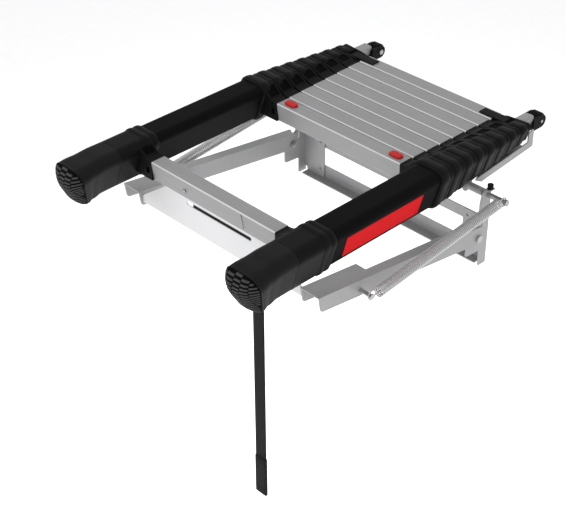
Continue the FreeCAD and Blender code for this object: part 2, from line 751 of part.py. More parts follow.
def make_pivots():
    """The bolts of the cradle, with the spacers that keep each arm clear of its bracket."""
    inside = "Sizes.arm_inner_rear - Sizes.side_gap"
    outside = "Sizes.arm_outer + Sizes.side_gap"
    bolt = rod("pivot_shaft", f"{inside} - 7", "Sizes.pivot_y", "Sizes.pivot_z", "Sizes.pivot_radius",
               f"{outside} - ({inside}) + 7")
    head = rod("pivot_head", outside, "Sizes.pivot_y", "Sizes.pivot_z", "7", "4")
    nut = rod("pivot_nut", f"{inside} - 5", "Sizes.pivot_y", "Sizes.pivot_z", "6.8", "5")
    both_sides("pivot_bolts", fuse("pivot_bolt", bolt, head, nut))
    spans = (
        ("inner", "(Sizes.arm_inner_rear + Sizes.sheet_thick + Sizes.side_gap)",
         "(Sizes.bracket_outer - Sizes.sheet_thick)"),
        ("outer", "Sizes.bracket_outer", "(Sizes.arm_outer - Sizes.sheet_thick - Sizes.side_gap)"),
    )
    spacers = []
    for name, start, end in spans:
        blank = rod(f"pivot_spacer_{name}_blank", start, "Sizes.pivot_y", "Sizes.pivot_z", "8", f"{end} - {start}")
        bore = rod(f"pivot_spacer_{name}_bore", f"{start} - 1", "Sizes.pivot_y", "Sizes.pivot_z",
                   "Sizes.pivot_radius", f"{end} - {start} + 2")
        spacer = cut(f"pivot_spacer_{name}", blank, bore)
        spacers.extend((spacer, mirror(f"pivot_spacer_{name}_other", spacer)))
    node(group("pivot_spacers", *spacers), "pivot_spacers")


def make_bumpers():
    """The rubber stops on top of the brackets."""
    both_sides("rubber_bumpers", rod("rubber_bumper", "Sizes.bumper_x", "Sizes.rod_y", "Sizes.flange_top",
                                     "Sizes.bumper_radius", "Sizes.bumper_height", "Z"))


make_bracket()
make_cross_bars()
make_rods()
make_pivots()
make_bumpers()


# ---- swing cradle --------------------------------------------------------------------------------
def arm_top(y):
    return size("arm_front_top") + size("arm_top_slope") * (y - size("arm_front"))


def arm_bottom(y):
    return size("arm_front_bottom") + size("arm_bottom_slope") * (y - size("arm_front"))


def make_arm():
    """Inverted channel: wide under the stile in front, narrow behind the step, pivoted at the back."""
    front, step, thick = size("arm_front"), size("arm_step"), size("sheet_thick")
    rear = size("pivot_y") + 14
    pivot_hole = ("Sizes.pivot_y", "Sizes.pivot_z", "Sizes.pivot_radius + Sizes.fit_gap")
    peg_hole = ("Sizes.peg_y", "Sizes.peg_z", "Sizes.peg_radius")
    nose = [(front + 5, arm_bottom(front + 5), 7), (front, arm_top(front), 1)]
    tail = [(rear, arm_top(rear), 6), (rear, size("pivot_z") - 14, 13.5)]
    outer = plate("arm_outer_web", "YZ", tail + nose, "Sizes.sheet_thick", holes=(pivot_hole, peg_hole),
                  x="Sizes.arm_outer - Sizes.sheet_thick")
    inner_rear = plate("arm_inner_rear_web", "YZ",
                       tail + [(step, arm_bottom(step), 2), (step, arm_top(step), 1)],
                       "Sizes.sheet_thick", holes=(pivot_hole,), x="Sizes.arm_inner_rear")
    inner_front = plate("arm_inner_front_web", "YZ",
                        [(step, arm_top(step), 1), (step, arm_bottom(step), 6)] + nose,
                        "Sizes.sheet_thick", holes=(peg_hole,), x="Sizes.arm_inner_front")
    top_front = plate("arm_top_front", "YZ", [
        (step, arm_top(step), 0), (step, arm_top(step) - thick, 0),
        (front, arm_top(front) - thick, 0), (front, arm_top(front), 0)],
        "Sizes.arm_outer - Sizes.arm_inner_front", x="Sizes.arm_inner_front")
    ridge = rear - 8
    top_rear = plate("arm_top_rear", "YZ", [
        (ridge, arm_top(ridge), 0), (ridge, arm_top(ridge) - thick, 0),
        (step, arm_top(step) - thick, 0), (step, arm_top(step), 0)],
        "Sizes.arm_outer - Sizes.arm_inner_rear", x="Sizes.arm_inner_rear")
    shoulder = plate("arm_shoulder", "XZ", [
        (size("arm_inner_front"), arm_top(step) - thick, 0), (size("arm_inner_front"), arm_bottom(step), 4),
        (size("arm_inner_rear") + thick, arm_bottom(step), 0),
        (size("arm_inner_rear") + thick, arm_top(step) - thick, 0)],
        "Sizes.sheet_thick", y="Sizes.arm_step - Sizes.sheet_thick")
    left_and_right("swing_arm", fuse("swing_arm", outer, inner_rear, inner_front, top_front, top_rear, shoulder))


def make_front_plate():
    """The light plate that joins the arms and carries the lowest rung, with its hand slot."""
    half, top, bottom = size("arm_inner_front"), size("plate_top"), size("plate_bottom")
    shoulder = size("plate_shoulder")
    sheet_plate = plate("front_plate_sheet", "XZ", [
        (-half, bottom, 3), (half, bottom, 3), (half, bottom + 14, 3), (shoulder + 3, top - 12, 8),
        (shoulder - 8, top, 4), (8 - shoulder, top, 4), (-shoulder - 3, top - 12, 8), (-half, bottom + 14, 3)],
        "Sizes.sheet_thick", y="Sizes.plate_y",
        slots=([(-81, 138, 3.9), (-81, 130, 3.9), (81, 130, 3.9), (81, 138, 3.9)],))
    tabs = []
    ends = (("right", "Sizes.arm_inner_front - Sizes.sheet_thick"), ("left", "-Sizes.arm_inner_front"))
    for side, start in ends:
        tabs.append(plate(f"front_plate_tab_{side}", "YZ", [
            (size("plate_y"), bottom + 1, 0), (size("plate_y") + 32, bottom - 4, 4),
            (size("plate_y") + 32, bottom + 9, 4), (size("plate_y"), bottom + 12, 0)],
            "Sizes.sheet_thick", x=start))
    node(fuse("front_plate", sheet_plate, *tabs), "front_plate")


def make_plate_rivets():
    heads = []
    for offset in (12.0, 24.0):
        head = rod(f"plate_rivet_{len(heads)}", "Sizes.arm_inner_front - Sizes.sheet_thick - 1.6",
                   f"Sizes.plate_y + {offset}", "Sizes.plate_bottom + 4", "2.6", "1.6")
        heads.extend((head, mirror(f"plate_rivet_{len(heads)}_other", head)))
    node(group("plate_rivets", *heads), "plate_rivets")


def make_pegs():
    """The cross pegs that hold the front hooks of the springs."""
    shaft = rod("peg_shaft", "Sizes.arm_inner_front - 2", "Sizes.peg_y", "Sizes.peg_z", "Sizes.peg_radius",
                "Sizes.peg_end - Sizes.arm_inner_front + 2")
    cap = rod("peg_cap", "Sizes.peg_end - 2.5", "Sizes.peg_y", "Sizes.peg_z", "Sizes.peg_radius + 1.2", "2.5")
    both_sides("spring_pegs", fuse("spring_peg", shaft, cap))


make_arm()
make_front_plate()
make_plate_rivets()
make_pegs()


# ---- extension springs ---------------------------------------------------------------------------
def make_springs():
    """Close-wound springs from the top rods to the pegs; the end hooks turn on rod and peg."""
    front = Vector(size("spring_x"), size("coil_front_y"), size("coil_front_z"))
    rear = Vector(size("spring_x"), size("coil_rear_y"), size("coil_rear_z"))
    along = rear - front
    turn = Rotation(Vector(0, 0, 1), along)
    step = Vector(along).normalize()

    def on_axis(name, radius, point, length):
        item = doc.addObject("Part::Cylinder", name)
        bind(item, "Radius", radius)
        bind(item, "Height", length)
        item.Placement = Placement(point, turn)
        return item

    def loop(name, y, z):
        item = doc.addObject("Part::Torus", name)
        bind(item, "Radius1", "Sizes.loop_radius")
        bind(item, "Radius2", "Sizes.loop_wire")
        item.Placement = Placement(Vector(), Rotation(Vector(0, 1, 0), 90))
        return place(item, "Sizes.spring_x", y, z)

    skin = on_axis("coil_skin", "Sizes.coil_radius", front, str(along.Length))
    bore = on_axis("coil_bore", "Sizes.coil_radius - Sizes.coil_wire", front - step * 5, str(along.Length + 10))
    left_and_right("spring_coil", cut("spring_coil", skin, bore))

    reach = "(Sizes.loop_radius - Sizes.loop_wire - {} - 0.05)"
    peg_side = "Sizes.peg_y + " + reach.format("Sizes.peg_radius")
    front_loop = loop("front_loop", peg_side, "Sizes.peg_z")
    shank_start = front - step * 7.0
    shank = on_axis("hook_shank", "Sizes.loop_wire", shank_start, "Sizes.shank_long")
    both_sides("spring_front_hooks", fuse("spring_front_hook", front_loop, shank))

    rod_side = "Sizes.rod_y - " + reach.format("Sizes.rod_radius")
    rear_loop = loop("rear_loop", rod_side, "Sizes.rod_z")
    tail = on_axis("hook_tail", "Sizes.loop_wire", rear + step * 4.6 - step * size("tail_long"), "Sizes.tail_long")
    both_sides("spring_rear_hooks", fuse("spring_rear_hook", rear_loop, tail))


make_springs()


# ---- ladder carrier ------------------------------------------------------------------------------
def make_carrier():
    """Channel rails that hang the top of the ladder on the rods, with their sleeves and bolts."""
    rod_y, rod_z, thick = size("rod_y"), size("rod_z"), size("sheet_thick")
    front_y, front_z = rod_y - 13, size("rail_front_z")
    rear_y, rear_z = size("rail_rear_y"), size("rail_rear_z")
    slope = (rear_z - front_z) / (rear_y - front_y)
    end_y, end_z = rear_y - 14, rear_z - 14 * slope
    rod_hole = ("Sizes.rod_y", "Sizes.rod_z", "Sizes.rod_radius + Sizes.fit_gap")
    outer = plate("rail_outer_wall", "YZ", [
        (front_y, front_z, 3), (rear_y, rear_z, 3), (rear_y, rear_z + 35.6, 2), (end_y, rear_z + 30.5, 2),
        (end_y, rear_z + 12.4, 3), (front_y - 20, front_z + 11, 2)],
        "Sizes.sheet_thick", x="Sizes.rail_outer - Sizes.sheet_thick")
    inner = plate("rail_inner_wall", "YZ", [
        (rod_y - 12.5, rod_z - 12.5, 12), (rod_y + 12.5, rod_z - 12.5, 12), (rod_y + 12.5, front_z - 6, 8),
        (end_y, end_z, 3), (end_y, end_z + 8, 3), (rod_y - 12.5, front_z + 9, 8)],
        "Sizes.sheet_thick", holes=(rod_hole,), x="Sizes.rail_inner")
    floor = plate("rail_floor", "YZ", [
        (front_y + 4, front_z + 4 * slope, 0), (end_y, end_z, 0), (end_y, end_z + thick, 0),
        (front_y + 4, front_z + 4 * slope + thick, 0)],
        "Sizes.rail_outer - Sizes.rail_inner", x="Sizes.rail_inner")
    rail = cut("carrier_rail", fuse("rail_blank", floor, inner, outer), carrier_bolt_shank("rail_bolt_bore"))
    left_and_right("carrier_rail", rail)


def make_sleeves():
    start = "Sizes.rail_inner + Sizes.sheet_thick"
    length = "Sizes.rail_outer - Sizes.rail_inner - 2 * Sizes.sheet_thick"
    blank = rod("sleeve_blank", start, "Sizes.rod_y", "Sizes.rod_z", "Sizes.sleeve_radius", length)
    bore = rod("sleeve_bore", f"{start} - 1", "Sizes.rod_y", "Sizes.rod_z", "Sizes.rod_radius + Sizes.fit_gap",
               f"{length} + 2")
    both_sides("hinge_sleeves", cut("hinge_sleeve", blank, bore))


def make_carrier_bolts():
    shank = carrier_bolt_shank("carrier_bolt_shank")
    head = rod("carrier_bolt_head", "Sizes.carrier_bolt_x", "Sizes.carrier_bolt_y", "Sizes.rail_rear_z - 7.7",
               "2 * Sizes.carrier_bolt_radius", "3.5", "Z")
    both_sides("carrier_bolts", fuse("carrier_bolt", shank, head))


make_carrier()
make_sleeves()
make_carrier_bolts()


# ---- check and write -----------------------------------------------------------------------------
doc.recompute()
for item in doc.Objects:
    if "Invalid" in item.State or "Error" in item.State:
        raise RuntimeError(f"{item.Label} didn't rebuild: {item.State}")
os.makedirs("parts", exist_ok=True)
for item in nodes:
    shape = item.Shape
    if shape.isNull() or not shape.isValid():
        raise RuntimeError(f"{item.Label} has no valid shape")
    shape.exportStep(f"parts/{item.Label}.step")
print(len(nodes), "nodes written")
print("strap: one straight run, no bend; flat", size("strap_width"), "x", size("strap_thick"), "mm")
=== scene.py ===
import json
import math

import bmesh
import bpy
from mathutils import Matrix, Vector


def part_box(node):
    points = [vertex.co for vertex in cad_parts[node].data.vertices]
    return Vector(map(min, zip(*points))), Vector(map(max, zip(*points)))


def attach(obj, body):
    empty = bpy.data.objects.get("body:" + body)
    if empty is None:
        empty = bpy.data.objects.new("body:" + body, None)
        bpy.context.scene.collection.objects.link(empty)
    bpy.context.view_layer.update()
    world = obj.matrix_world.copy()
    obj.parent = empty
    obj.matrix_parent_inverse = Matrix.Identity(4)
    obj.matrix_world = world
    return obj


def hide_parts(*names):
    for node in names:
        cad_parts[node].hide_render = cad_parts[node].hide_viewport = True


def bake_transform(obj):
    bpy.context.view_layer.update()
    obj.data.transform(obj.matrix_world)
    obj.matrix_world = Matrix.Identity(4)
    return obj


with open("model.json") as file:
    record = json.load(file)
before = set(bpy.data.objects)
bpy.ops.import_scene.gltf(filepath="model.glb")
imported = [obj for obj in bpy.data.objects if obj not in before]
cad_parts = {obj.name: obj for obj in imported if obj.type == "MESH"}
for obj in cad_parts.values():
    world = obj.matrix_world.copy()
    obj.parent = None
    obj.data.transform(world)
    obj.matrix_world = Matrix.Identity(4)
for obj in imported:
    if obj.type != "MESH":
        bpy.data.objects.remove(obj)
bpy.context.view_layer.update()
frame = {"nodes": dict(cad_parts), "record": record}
NODES = frame["nodes"]
MM = 0.001
TURN = 2 * math.pi
TINY = 1e-6
SIDES = ("right", "left")


# ---- mesh helpers --------------------------------------------------------------------------------
def link_object(name, data):
    item = bpy.data.objects.new(name, data)
    bpy.context.collection.objects.link(item)
    return item


def add_object(name, mesh, material, body=None):
    """A new visible piece. It rides on the body, if one is given."""
    piece = link_object(name, mesh)
    mesh.materials.append(material)
    if body:
        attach(piece, body)
    return piece


def fill(mesh, shape):
    """Moves a bmesh shape into the mesh."""
    shape.to_mesh(mesh)
    shape.free()
    return mesh


def mesh_from(name, points, faces, smooth=True):
    """A mesh whose faces all point outwards."""
    mesh = bpy.data.meshes.new(name)
    mesh.from_pydata([tuple(point) for point in points], [], faces)
    shape = bmesh.new()
    shape.from_mesh(mesh)
    bmesh.ops.recalc_face_normals(shape, faces=shape.faces)
    fill(mesh, shape)
    for polygon in mesh.polygons:
        polygon.use_smooth = smooth
    return mesh


def lofted(rings, ends="capped"):
    """Points and faces of a skin over closed rings that all have the same number of points.

    Its ends are capped, left open, or looped, which joins the last ring to the first.
    """
    points = [point for ring in rings for point in ring]
    count = len(rings[0])
    faces = []
    for level in range(len(rings) if ends == "looped" else len(rings) - 1):
        low, high = level * count, (level + 1) % len(rings) * count
        for index in range(count):
            follower = (index + 1) % count
            faces.append((low + index, low + follower, high + follower, high + index))
    if ends == "capped":
        faces.append(tuple(range(count)))
        faces.append(tuple(range(len(points) - count, len(points))))
    return points, faces


def joined(skins):
    """Points and faces of several skins as one."""
    points, faces = [], []
    for more_points, more_faces in skins:
        faces.extend([tuple(len(points) + index for index in face) for face in more_faces])
        points.extend(more_points)
    return points, faces


def mirrored(points, faces):
    """The same skin on both sides."""
    other = [Vector((-point.x, point.y, point.z)) for point in points]
    return joined([(points, faces), (other, [face[::-1] for face in faces])])


def circle(count):
    """Cosine and sine at evenly spaced places round a circle."""
    angles = [TURN * index / count for index in range(count)]
    return [(math.cos(angle), math.sin(angle)) for angle in angles]


def right_half(node):
    """Lowest and highest corner of a two-sided node's half at x > 0."""
    chosen = [v.co for v in NODES[node].data.vertices if v.co.x > 0]
    low = Vector([min(co[axis] for co in chosen) for axis in range(3)])
    high = Vector([max(co[axis] for co in chosen) for axis in range(3)])
    return low, high


# ---- materials -----------------------------------------------------------------------------------
NOISE_RANGE = (0.3, 0.7)     # noise levels that stand for the dark and the light end
FINE_NOISE = {"Scale": 1.0, "Detail": 5.0, "Roughness": 0.65}
BROAD_NOISE = {"Scale": 14.0, "Detail": 2.0}
GRAIN_DEPTH = 0.2 * MM
HIGHLIGHT_FACING = (0.12, 0.35)   # from where the painted highlight on a tread's edge starts to where it is full
YARN_SCALE, YARN_ANGLE, YARN_DEPTH = 320.0, 35, 0.4 * MM


def add_node(tree, kind, values=None):
    """A new shader node, with values for some of its inputs."""
    node = tree.nodes.new(f"ShaderNode{kind}")
    for entry, value in (values or {}).items():
        node.inputs[entry].default_value = value
    return node


def wire(tree, *links):
    """Joins nodes. Each link holds a node, its output, the next node and its input."""
    for source, output, target, entry in links:
        tree.links.new(source.outputs[output], target.inputs[entry])


def grained(name, dark, light, stretch, metallic=0.0, rough=(0.4, 0.5), bump=0.1, mottle=0.15,
            specular=0.5):
    """A surface with a fine grain, scaled by its own amount along each axis, and broad mottling."""
    material = bpy.data.materials.new(name)
    material.use_nodes = True
    tree = material.node_tree
    shader = tree.nodes["Principled BSDF"]
    shader.inputs["Metallic"].default_value = metallic
    shader.inputs["Specular IOR Level"].default_value = specular
    place = add_node(tree, "TexCoord")
    scale = add_node(tree, "Mapping", {"Scale": stretch})
    grain = add_node(tree, "TexNoise", FINE_NOISE)
    broad = add_node(tree, "TexNoise", BROAD_NOISE)
    blend = add_node(tree, "Mix", {"Factor": mottle})
    colour = add_node(tree, "ValToRGB")
    for index, tint in enumerate((dark, light)):
        colour.color_ramp.elements[index].position = NOISE_RANGE[index]
        colour.color_ramp.elements[index].color = (*tint, 1)
    spread = add_node(tree, "MapRange", {"From Min": NOISE_RANGE[0], "From Max": NOISE_RANGE[1],
                                         "To Min": rough[0], "To Max": rough[1]})
    relief = add_node(tree, "Bump", {"Strength": bump, "Distance": GRAIN_DEPTH})
    wire(tree,
         (place, "Object", scale, "Vector"),
         (scale, "Vector", grain, "Vector"),
         (place, "Object", broad, "Vector"),
         (grain, "Fac", blend, "A"),
         (broad, "Fac", blend, "B"),
         (blend, "Result", colour, "Fac"),
         (colour, "Color", shader, "Base Color"),
         (blend, "Result", spread, "Value"),
         (spread, "Result", shader, "Roughness"),
         (grain, "Fac", relief, "Height"),
         (relief, "Normal", shader, "Normal"))
    return material


def painted_edge_highlight(material, light):
    """Lightens the rounded long edges of a tread that face up and to the front or back: a painted
    highlight.
    """
    tree = material.node_tree
    split = add_node(tree, "SeparateXYZ")
    level = add_node(tree, "Math")
    level.operation = "ABSOLUTE"
    facing = add_node(tree, "Math")
    facing.operation = "MULTIPLY"
    highlight_mask = add_node(tree, "MapRange", {"From Min": HIGHLIGHT_FACING[0], "From Max": HIGHLIGHT_FACING[1]})
    mix = add_node(tree, "Mix")
    mix.data_type = "RGBA"
    mix.inputs["B"].default_value = (*light, 1)
    wire(tree,
         (tree.nodes["Texture Coordinate"], "Normal", split, "Vector"),
         (split, "Y", level, 0),
         (level, "Value", facing, 0),
         (split, "Z", facing, 1),
         (facing, "Value", highlight_mask, "Value"),
         (highlight_mask, "Result", mix, "Factor"),
         (tree.nodes["Color Ramp"], "Color", mix, "A"),
         (mix, "Result", tree.nodes["Principled BSDF"], "Base Color"))


def woven(name, dark, light):
    """Black webbing: a herringbone of fine yarns across the strap."""
    material = grained(name, dark, light, FINEST, rough=(0.7, 0.9), specular=0.12)
    tree = material.node_tree
    cross = add_node(tree, "Math")
    cross.operation = "MAXIMUM"
    for index, angle in enumerate((YARN_ANGLE, -YARN_ANGLE)):
        turn = add_node(tree, "Mapping", {"Rotation": (0, math.radians(angle), 0)})
        wave = add_node(tree, "TexWave", {"Scale": YARN_SCALE})
        wave.bands_direction = "Z"
        wire(tree,
             (tree.nodes["Texture Coordinate"], "Object", turn, "Vector"),
             (turn, "Vector", wave, "Vector"),
             (wave, "Fac", cross, index))
    relief = add_node(tree, "Bump", {"Strength": 0.5, "Distance": YARN_DEPTH})
    wire(tree,
         (cross, "Value", relief, "Height"),
         (relief, "Normal", tree.nodes["Principled BSDF"], "Normal"))
    return material


def grey(value):
    return (value, value, value * 1.01)


ACROSS = (6, 900, 900)       # brushed along X
ALONG = (900, 8, 900)        # drawn along Y
EVEN = (700, 700, 700)
FINEST = (900, 900, 900)
COARSE = (160, 160, 160)     # the flakes of a zinc coat
MATERIALS = {
    "tread": grained("brushed_tread", grey(0.21), grey(0.29), ACROSS, metallic=0.35,
                     rough=(0.42, 0.52), bump=0.12, mottle=0.2),
    "tube": grained("black_anodised", grey(0.0025), grey(0.005), ALONG,
                    rough=(0.5, 0.6), bump=0.05, specular=0.025),
    "collar": grained("collar_plastic", grey(0.0035), grey(0.006), EVEN,
                      rough=(0.42, 0.54), bump=0.15, specular=0.055),
    # Darkest grey: painted shade in the lug pockets and on the sole between its bars; also used for
    # the washer and the saw mark.
    "shade_and_dark": grained("collar_recess", grey(0.0015), grey(0.003), EVEN,
                      rough=(0.6, 0.7), bump=0.1, specular=0.02),
    "rubber": grained("foot_rubber", grey(0.005), grey(0.009), EVEN,
                      rough=(0.5, 0.62), bump=0.2, specular=0.08),
    # Lighter rubber for the sole's grip bars: painted highlight on their ridges.
    "sole_bar_highlight": grained("grip_rubber", grey(0.03), grey(0.042), EVEN,
                    rough=(0.5, 0.6), bump=0.1, specular=0.2),
    "webbing": woven("strap_webbing", grey(0.006), grey(0.016)),
    "label": grained("label_film", (0.56, 0.003, 0.006), (0.6, 0.004, 0.008), EVEN,
                     rough=(0.45, 0.55), bump=0.03, mottle=0.3, specular=0.03),
    "button": grained("button_red", (0.4, 0.005, 0.007), (0.48, 0.008, 0.01), EVEN,
                      rough=(0.4, 0.5), bump=0.1, specular=0.2),
    "steel": grained("zinc_steel", grey(0.28), grey(0.35), COARSE, metallic=0.2,
                     rough=(0.42, 0.55), bump=0.05, mottle=0.5, specular=0.35),
    "plate": grained("grey_coat", grey(0.6), grey(0.66), EVEN,
                     rough=(0.5, 0.6), bump=0.06, mottle=0.3, specular=0.25),
    "spring": grained("drawn_wire", grey(0.42), grey(0.5), EVEN, metallic=0.2,
                      rough=(0.35, 0.45), bump=0.05),
    "pin": grained("turned_steel", grey(0.34), grey(0.44), ACROSS, metallic=0.7,
                   rough=(0.25, 0.35), bump=0.05),
}
# Painted highlight: the treads' rounded long edges get a lighter grey.
painted_edge_highlight(MATERIALS["tread"], grey(0.52))
FINISH_OF_SLOT = {
    "tread_alloy": "tread", "tube_alloy": "tube", "collar_plastic": "collar",
    "foot_rubber": "rubber", "webbing": "webbing", "label_red": "label", "button_red": "button",
    "zinc_steel": "steel", "plate_steel": "plate", "spring_steel": "spring",
    "black_plastic": "collar",
}
PIN_NODES = ("top_rods", "spring_pegs", "wheel_axles", "lock_pin_left", "lock_pin_right",
             "pivot_bolts", "pivot_spacers", "plate_rivets", "carrier_bolts")


def finish_nodes():
    """Gives every CAD node its procedural material."""
    for entry in frame["record"]["subparts"]:
        name = entry["node"]
        finish = "pin" if name in PIN_NODES else FINISH_OF_SLOT[entry["material_slot"]]
        mesh = NODES[name].data
        mesh.materials.clear()
        mesh.materials.append(MATERIALS[finish])


finish_nodes()


# ---- camera, light and floor ---------------------------------------------------------------------
CAMERA_PLACE = Vector((1.4948, -1.7431, 1.4297))
CAMERA_AZIMUTH, CAMERA_ELEVATION, CAMERA_ROLL = 45.914, 34.707, -0.353    # degrees
LENS, SENSOR = 89.2, 36.0    # mm
FLOOR_LEVEL, FLOOR_REACH = -1.4, 30    # metres
LIGHT_AIM = (0, -0.2, 0.1)
LIGHTS = (                   # name, place, target, side in metres, power in watts
    ("key", (-1.2, -2.6, 1.3), LIGHT_AIM, 1.6, 25),
    ("fill", (2.4, -1.2, 0.9), LIGHT_AIM, 1.6, 5),
    ("floor_wash", (0, 0, -0.6), (0, 0, FLOOR_LEVEL), 4.0, 60),
)


def make_camera():
    """The photograph's viewpoint: from the right, in front and above."""
    azimuth, elevation, roll = (
        math.radians(angle) for angle in (CAMERA_AZIMUTH, CAMERA_ELEVATION, CAMERA_ROLL))
    back = Vector((math.sin(azimuth) * math.cos(elevation),
                   -math.cos(azimuth) * math.cos(elevation), math.sin(elevation)))
    right = Vector((math.cos(azimuth), math.sin(azimuth), 0))
    up = back.cross(right)
    right, up = (right * math.cos(roll) + up * math.sin(roll),
                 up * math.cos(roll) - right * math.sin(roll))
    data = bpy.data.cameras.new("camera")
    data.lens = LENS
    data.sensor_width = SENSOR
    data.clip_end = 50.0
    camera = link_object("camera", data)
    turn = Matrix((right, up, back)).transposed().to_4x4()
    camera.matrix_world = Matrix.Translation(CAMERA_PLACE) @ turn
    bpy.context.scene.camera = camera


def make_lights():
    """Large soft lights, and one on the floor below."""
    for name, place, target, side, power in LIGHTS:
        data = bpy.data.lights.new(name, "AREA")
        data.shape = "SQUARE"
        data.size = side
        data.energy = power
        light = link_object(name, data)
        light.location = place
        aim = Vector(target) - Vector(place)
        light.rotation_euler = aim.to_track_quat("-Z", "Y").to_euler()


def make_stage():
    """Pale floor well below the hatch, and white surroundings."""
    corners = [(x * FLOOR_REACH, y * FLOOR_REACH, FLOOR_LEVEL)
               for x, y in ((-1, -1), (1, -1), (1, 1), (-1, 1))]
    floor = link_object("floor", mesh_from("floor", corners, [(0, 1, 2, 3)]))
    floor.data.materials.append(grained("floor_paint", grey(0.9), grey(0.93), (30, 30, 30),
                                        rough=(0.8, 0.9), bump=0.0))
    world = bpy.data.worlds.new("studio")
    bpy.context.scene.world = world
    world.use_nodes = True
    background = world.node_tree.nodes["Background"]
    background.inputs["Color"].default_value = (1, 1, 1, 1)
    background.inputs["Strength"].default_value = 1.0
    bpy.context.scene.view_settings.view_transform = "Standard"


make_camera()
make_stage()
make_lights()


# ---- pull strap ----------------------------------------------------------------------------------
WEBBING_SECTION = (          # shares of the half width and of half the thickness
    (-1, -0.4), (-0.96, -0.9), (-0.5, -1), (0, -1), (0.5, -1), (0.96, -0.9), (1, -0.4),
    (1, 0.4), (0.96, 0.9), (0.5, 1), (0, 1), (-0.5, 1), (-0.96, 0.9), (-1, 0.4))
STITCH_SECTION = ((-1.5, 0.3), (-1.2, -0.35), (1.2, -0.35), (1.5, 0.3))
WEAVE_PITCH = 4 * MM
STRAP_STEPS, HEM_STEPS = 190, 40
HEM_LONG = 81 * MM


def webbing_band(places, half_wide, half_thick, wave):
    """A flat band through the places, with a slight wave along its faces."""
    rings = []
    for place in places:
        deep = half_thick + wave * math.sin(TURN * place.z / WEAVE_PITCH)
        rings.append([place + Vector((half_wide * u, deep * v, 0)) for u, v in WEBBING_SECTION])
    return lofted(rings)


def curve_path(route):
    """Points along a soft curve through the route."""
    line = bpy.data.curves.new("strap_line", "CURVE")
    line.dimensions = "3D"
    spline = line.splines.new("NURBS")
    spline.points.add(len(route) - 1)
    for point, place in zip(spline.points, route):
        point.co = (*place, 1)
    spline.order_u = 3
    spline.use_endpoint_u = True
    holder = link_object("strap_line", line)
    path = [v.co.copy() for v in bpy.data.meshes.new_from_object(holder).vertices]
    bpy.data.objects.remove(holder)
    return path


def stitch_skins(x, y, half_wide, levels):
    """Rows of nine stitches across the hem."""
    skins = []
    for level in levels:
        for column in range(-4, 5):
            place = Vector((x + half_wide * 0.21 * column, y, level))
            skins.append(lofted([[place + Vector((dx, dy, dz)) * MM for dx, dy in STITCH_SECTION]
                                 for dz in (-0.5, 0.5)]))
    return joined(skins)


def make_strap():
    """Webbing that hangs straight down from the right foot, with a folded and stitched hem."""
    low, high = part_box("pull_strap")
    half_wide = (high.x - low.x) / 2
    thick = (high.y - low.y) / 3
    x, y = (low.x + high.x) / 2, (low.y + high.y) / 2
    route = [(x, y, high.z), (x, y, high.z - 40 * MM), (x, y, -60 * MM), (x, y, low.z)]
    path = curve_path(route)
    fine = [path[0].lerp(path[-1], index / STRAP_STEPS) for index in range(STRAP_STEPS + 1)]
    hem_top = low.z + HEM_LONG
    folds = [Vector((x, y, hem_top - HEM_LONG * index / HEM_STEPS))
             for index in range(HEM_STEPS + 1)]
    stitch_levels = (hem_top - 4 * MM, hem_top - 10 * MM, low.z + 12 * MM)
    strap, hem, thread = (
        add_object(name, mesh_from(name, *skin), MATERIALS["webbing"], "section_1")
        for name, skin in (
            ("pull_strap_webbing", webbing_band(fine, half_wide, thick / 2, 0.08 * MM)),
            ("strap_hem", webbing_band(folds, half_wide * 0.995, 1.42 * thick, 0.1 * MM)),
            ("strap_stitches", stitch_skins(x, y - 1.45 * thick, half_wide, stitch_levels))))
    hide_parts("pull_strap")


make_strap()


# ---- stile sections ------------------------------------------------------------------------------
STEP = 96                    # points round a stile section
STILE_LOW, STILE_HIGH = right_half("tubes_1")
CENTRE = Vector(((STILE_LOW.x + STILE_HIGH.x) / 2, (STILE_LOW.z + STILE_HIGH.z) / 2))


def convex(flat):
    """Convex hull of 2-D points, anticlockwise."""
    flat = sorted(flat)
    chains = []
    for ordered in (flat, flat[::-1]):
        chain = []
        for spot in ordered:
            while len(chain) > 1 and (
                    (chain[-1][0] - chain[-2][0]) * (spot[1] - chain[-2][1])
                    - (chain[-1][1] - chain[-2][1]) * (spot[0] - chain[-2][0])) <= 0:
                chain.pop()
            chain.append(spot)
        chains.append(chain[:-1])
    return chains[0] + chains[1]


def reach_along(ray, loop):
    """How far a ray from the middle runs before it crosses a closed loop of points."""
    for a, b in zip(loop, loop[1:] + loop[:1]):
        edge = b - a
        across = ray.x * edge.y - ray.y * edge.x
        if abs(across) < 1e-12:
            continue
        reach = (a.x * edge.y - a.y * edge.x) / across
        share = (a.x * ray.y - a.y * ray.x) / across
        if reach > 0 and -TINY <= share <= 1 + TINY:
            return reach
    raise RuntimeError("the loop doesn't close round its middle")


def stile_outline(node):
    """Points round the right-hand half of a tube node, with their outward directions."""
    vertices = [v.co for v in NODES[node].data.vertices if v.co.x > 0]
    flat = {(round(co.x, 6), round(co.z, 6)) for co in vertices}
    hull = [Vector(spot) - CENTRE for spot in convex(flat)]
    rays = [Vector(ray) for ray in circle(STEP)]
    spots = [ray * reach_along(ray, hull) for ray in rays]
    outline = []
    for index, spot in enumerate(spots):
        along = spots[(index + 1) % STEP] - spots[index - 1]
        outline.append((spot, Vector((along.y, -along.x)).normalized()))
    return outline


OUTLINES = [stile_outline(f"tubes_{section}") for section in range(1, 9)]


def stile_ring(outline, grow, y, drop=0.0, lean=0.0):
    """One closed ring round the right stile; a lean brings its top forwards."""
    ring = []
    for spot, out in outline:
        place = spot + out * grow
        high = place.y - drop
        ring.append(Vector((CENTRE.x + place.x, y - math.sin(lean) * high,
                            CENTRE.y + math.cos(lean) * high)))
    return ring


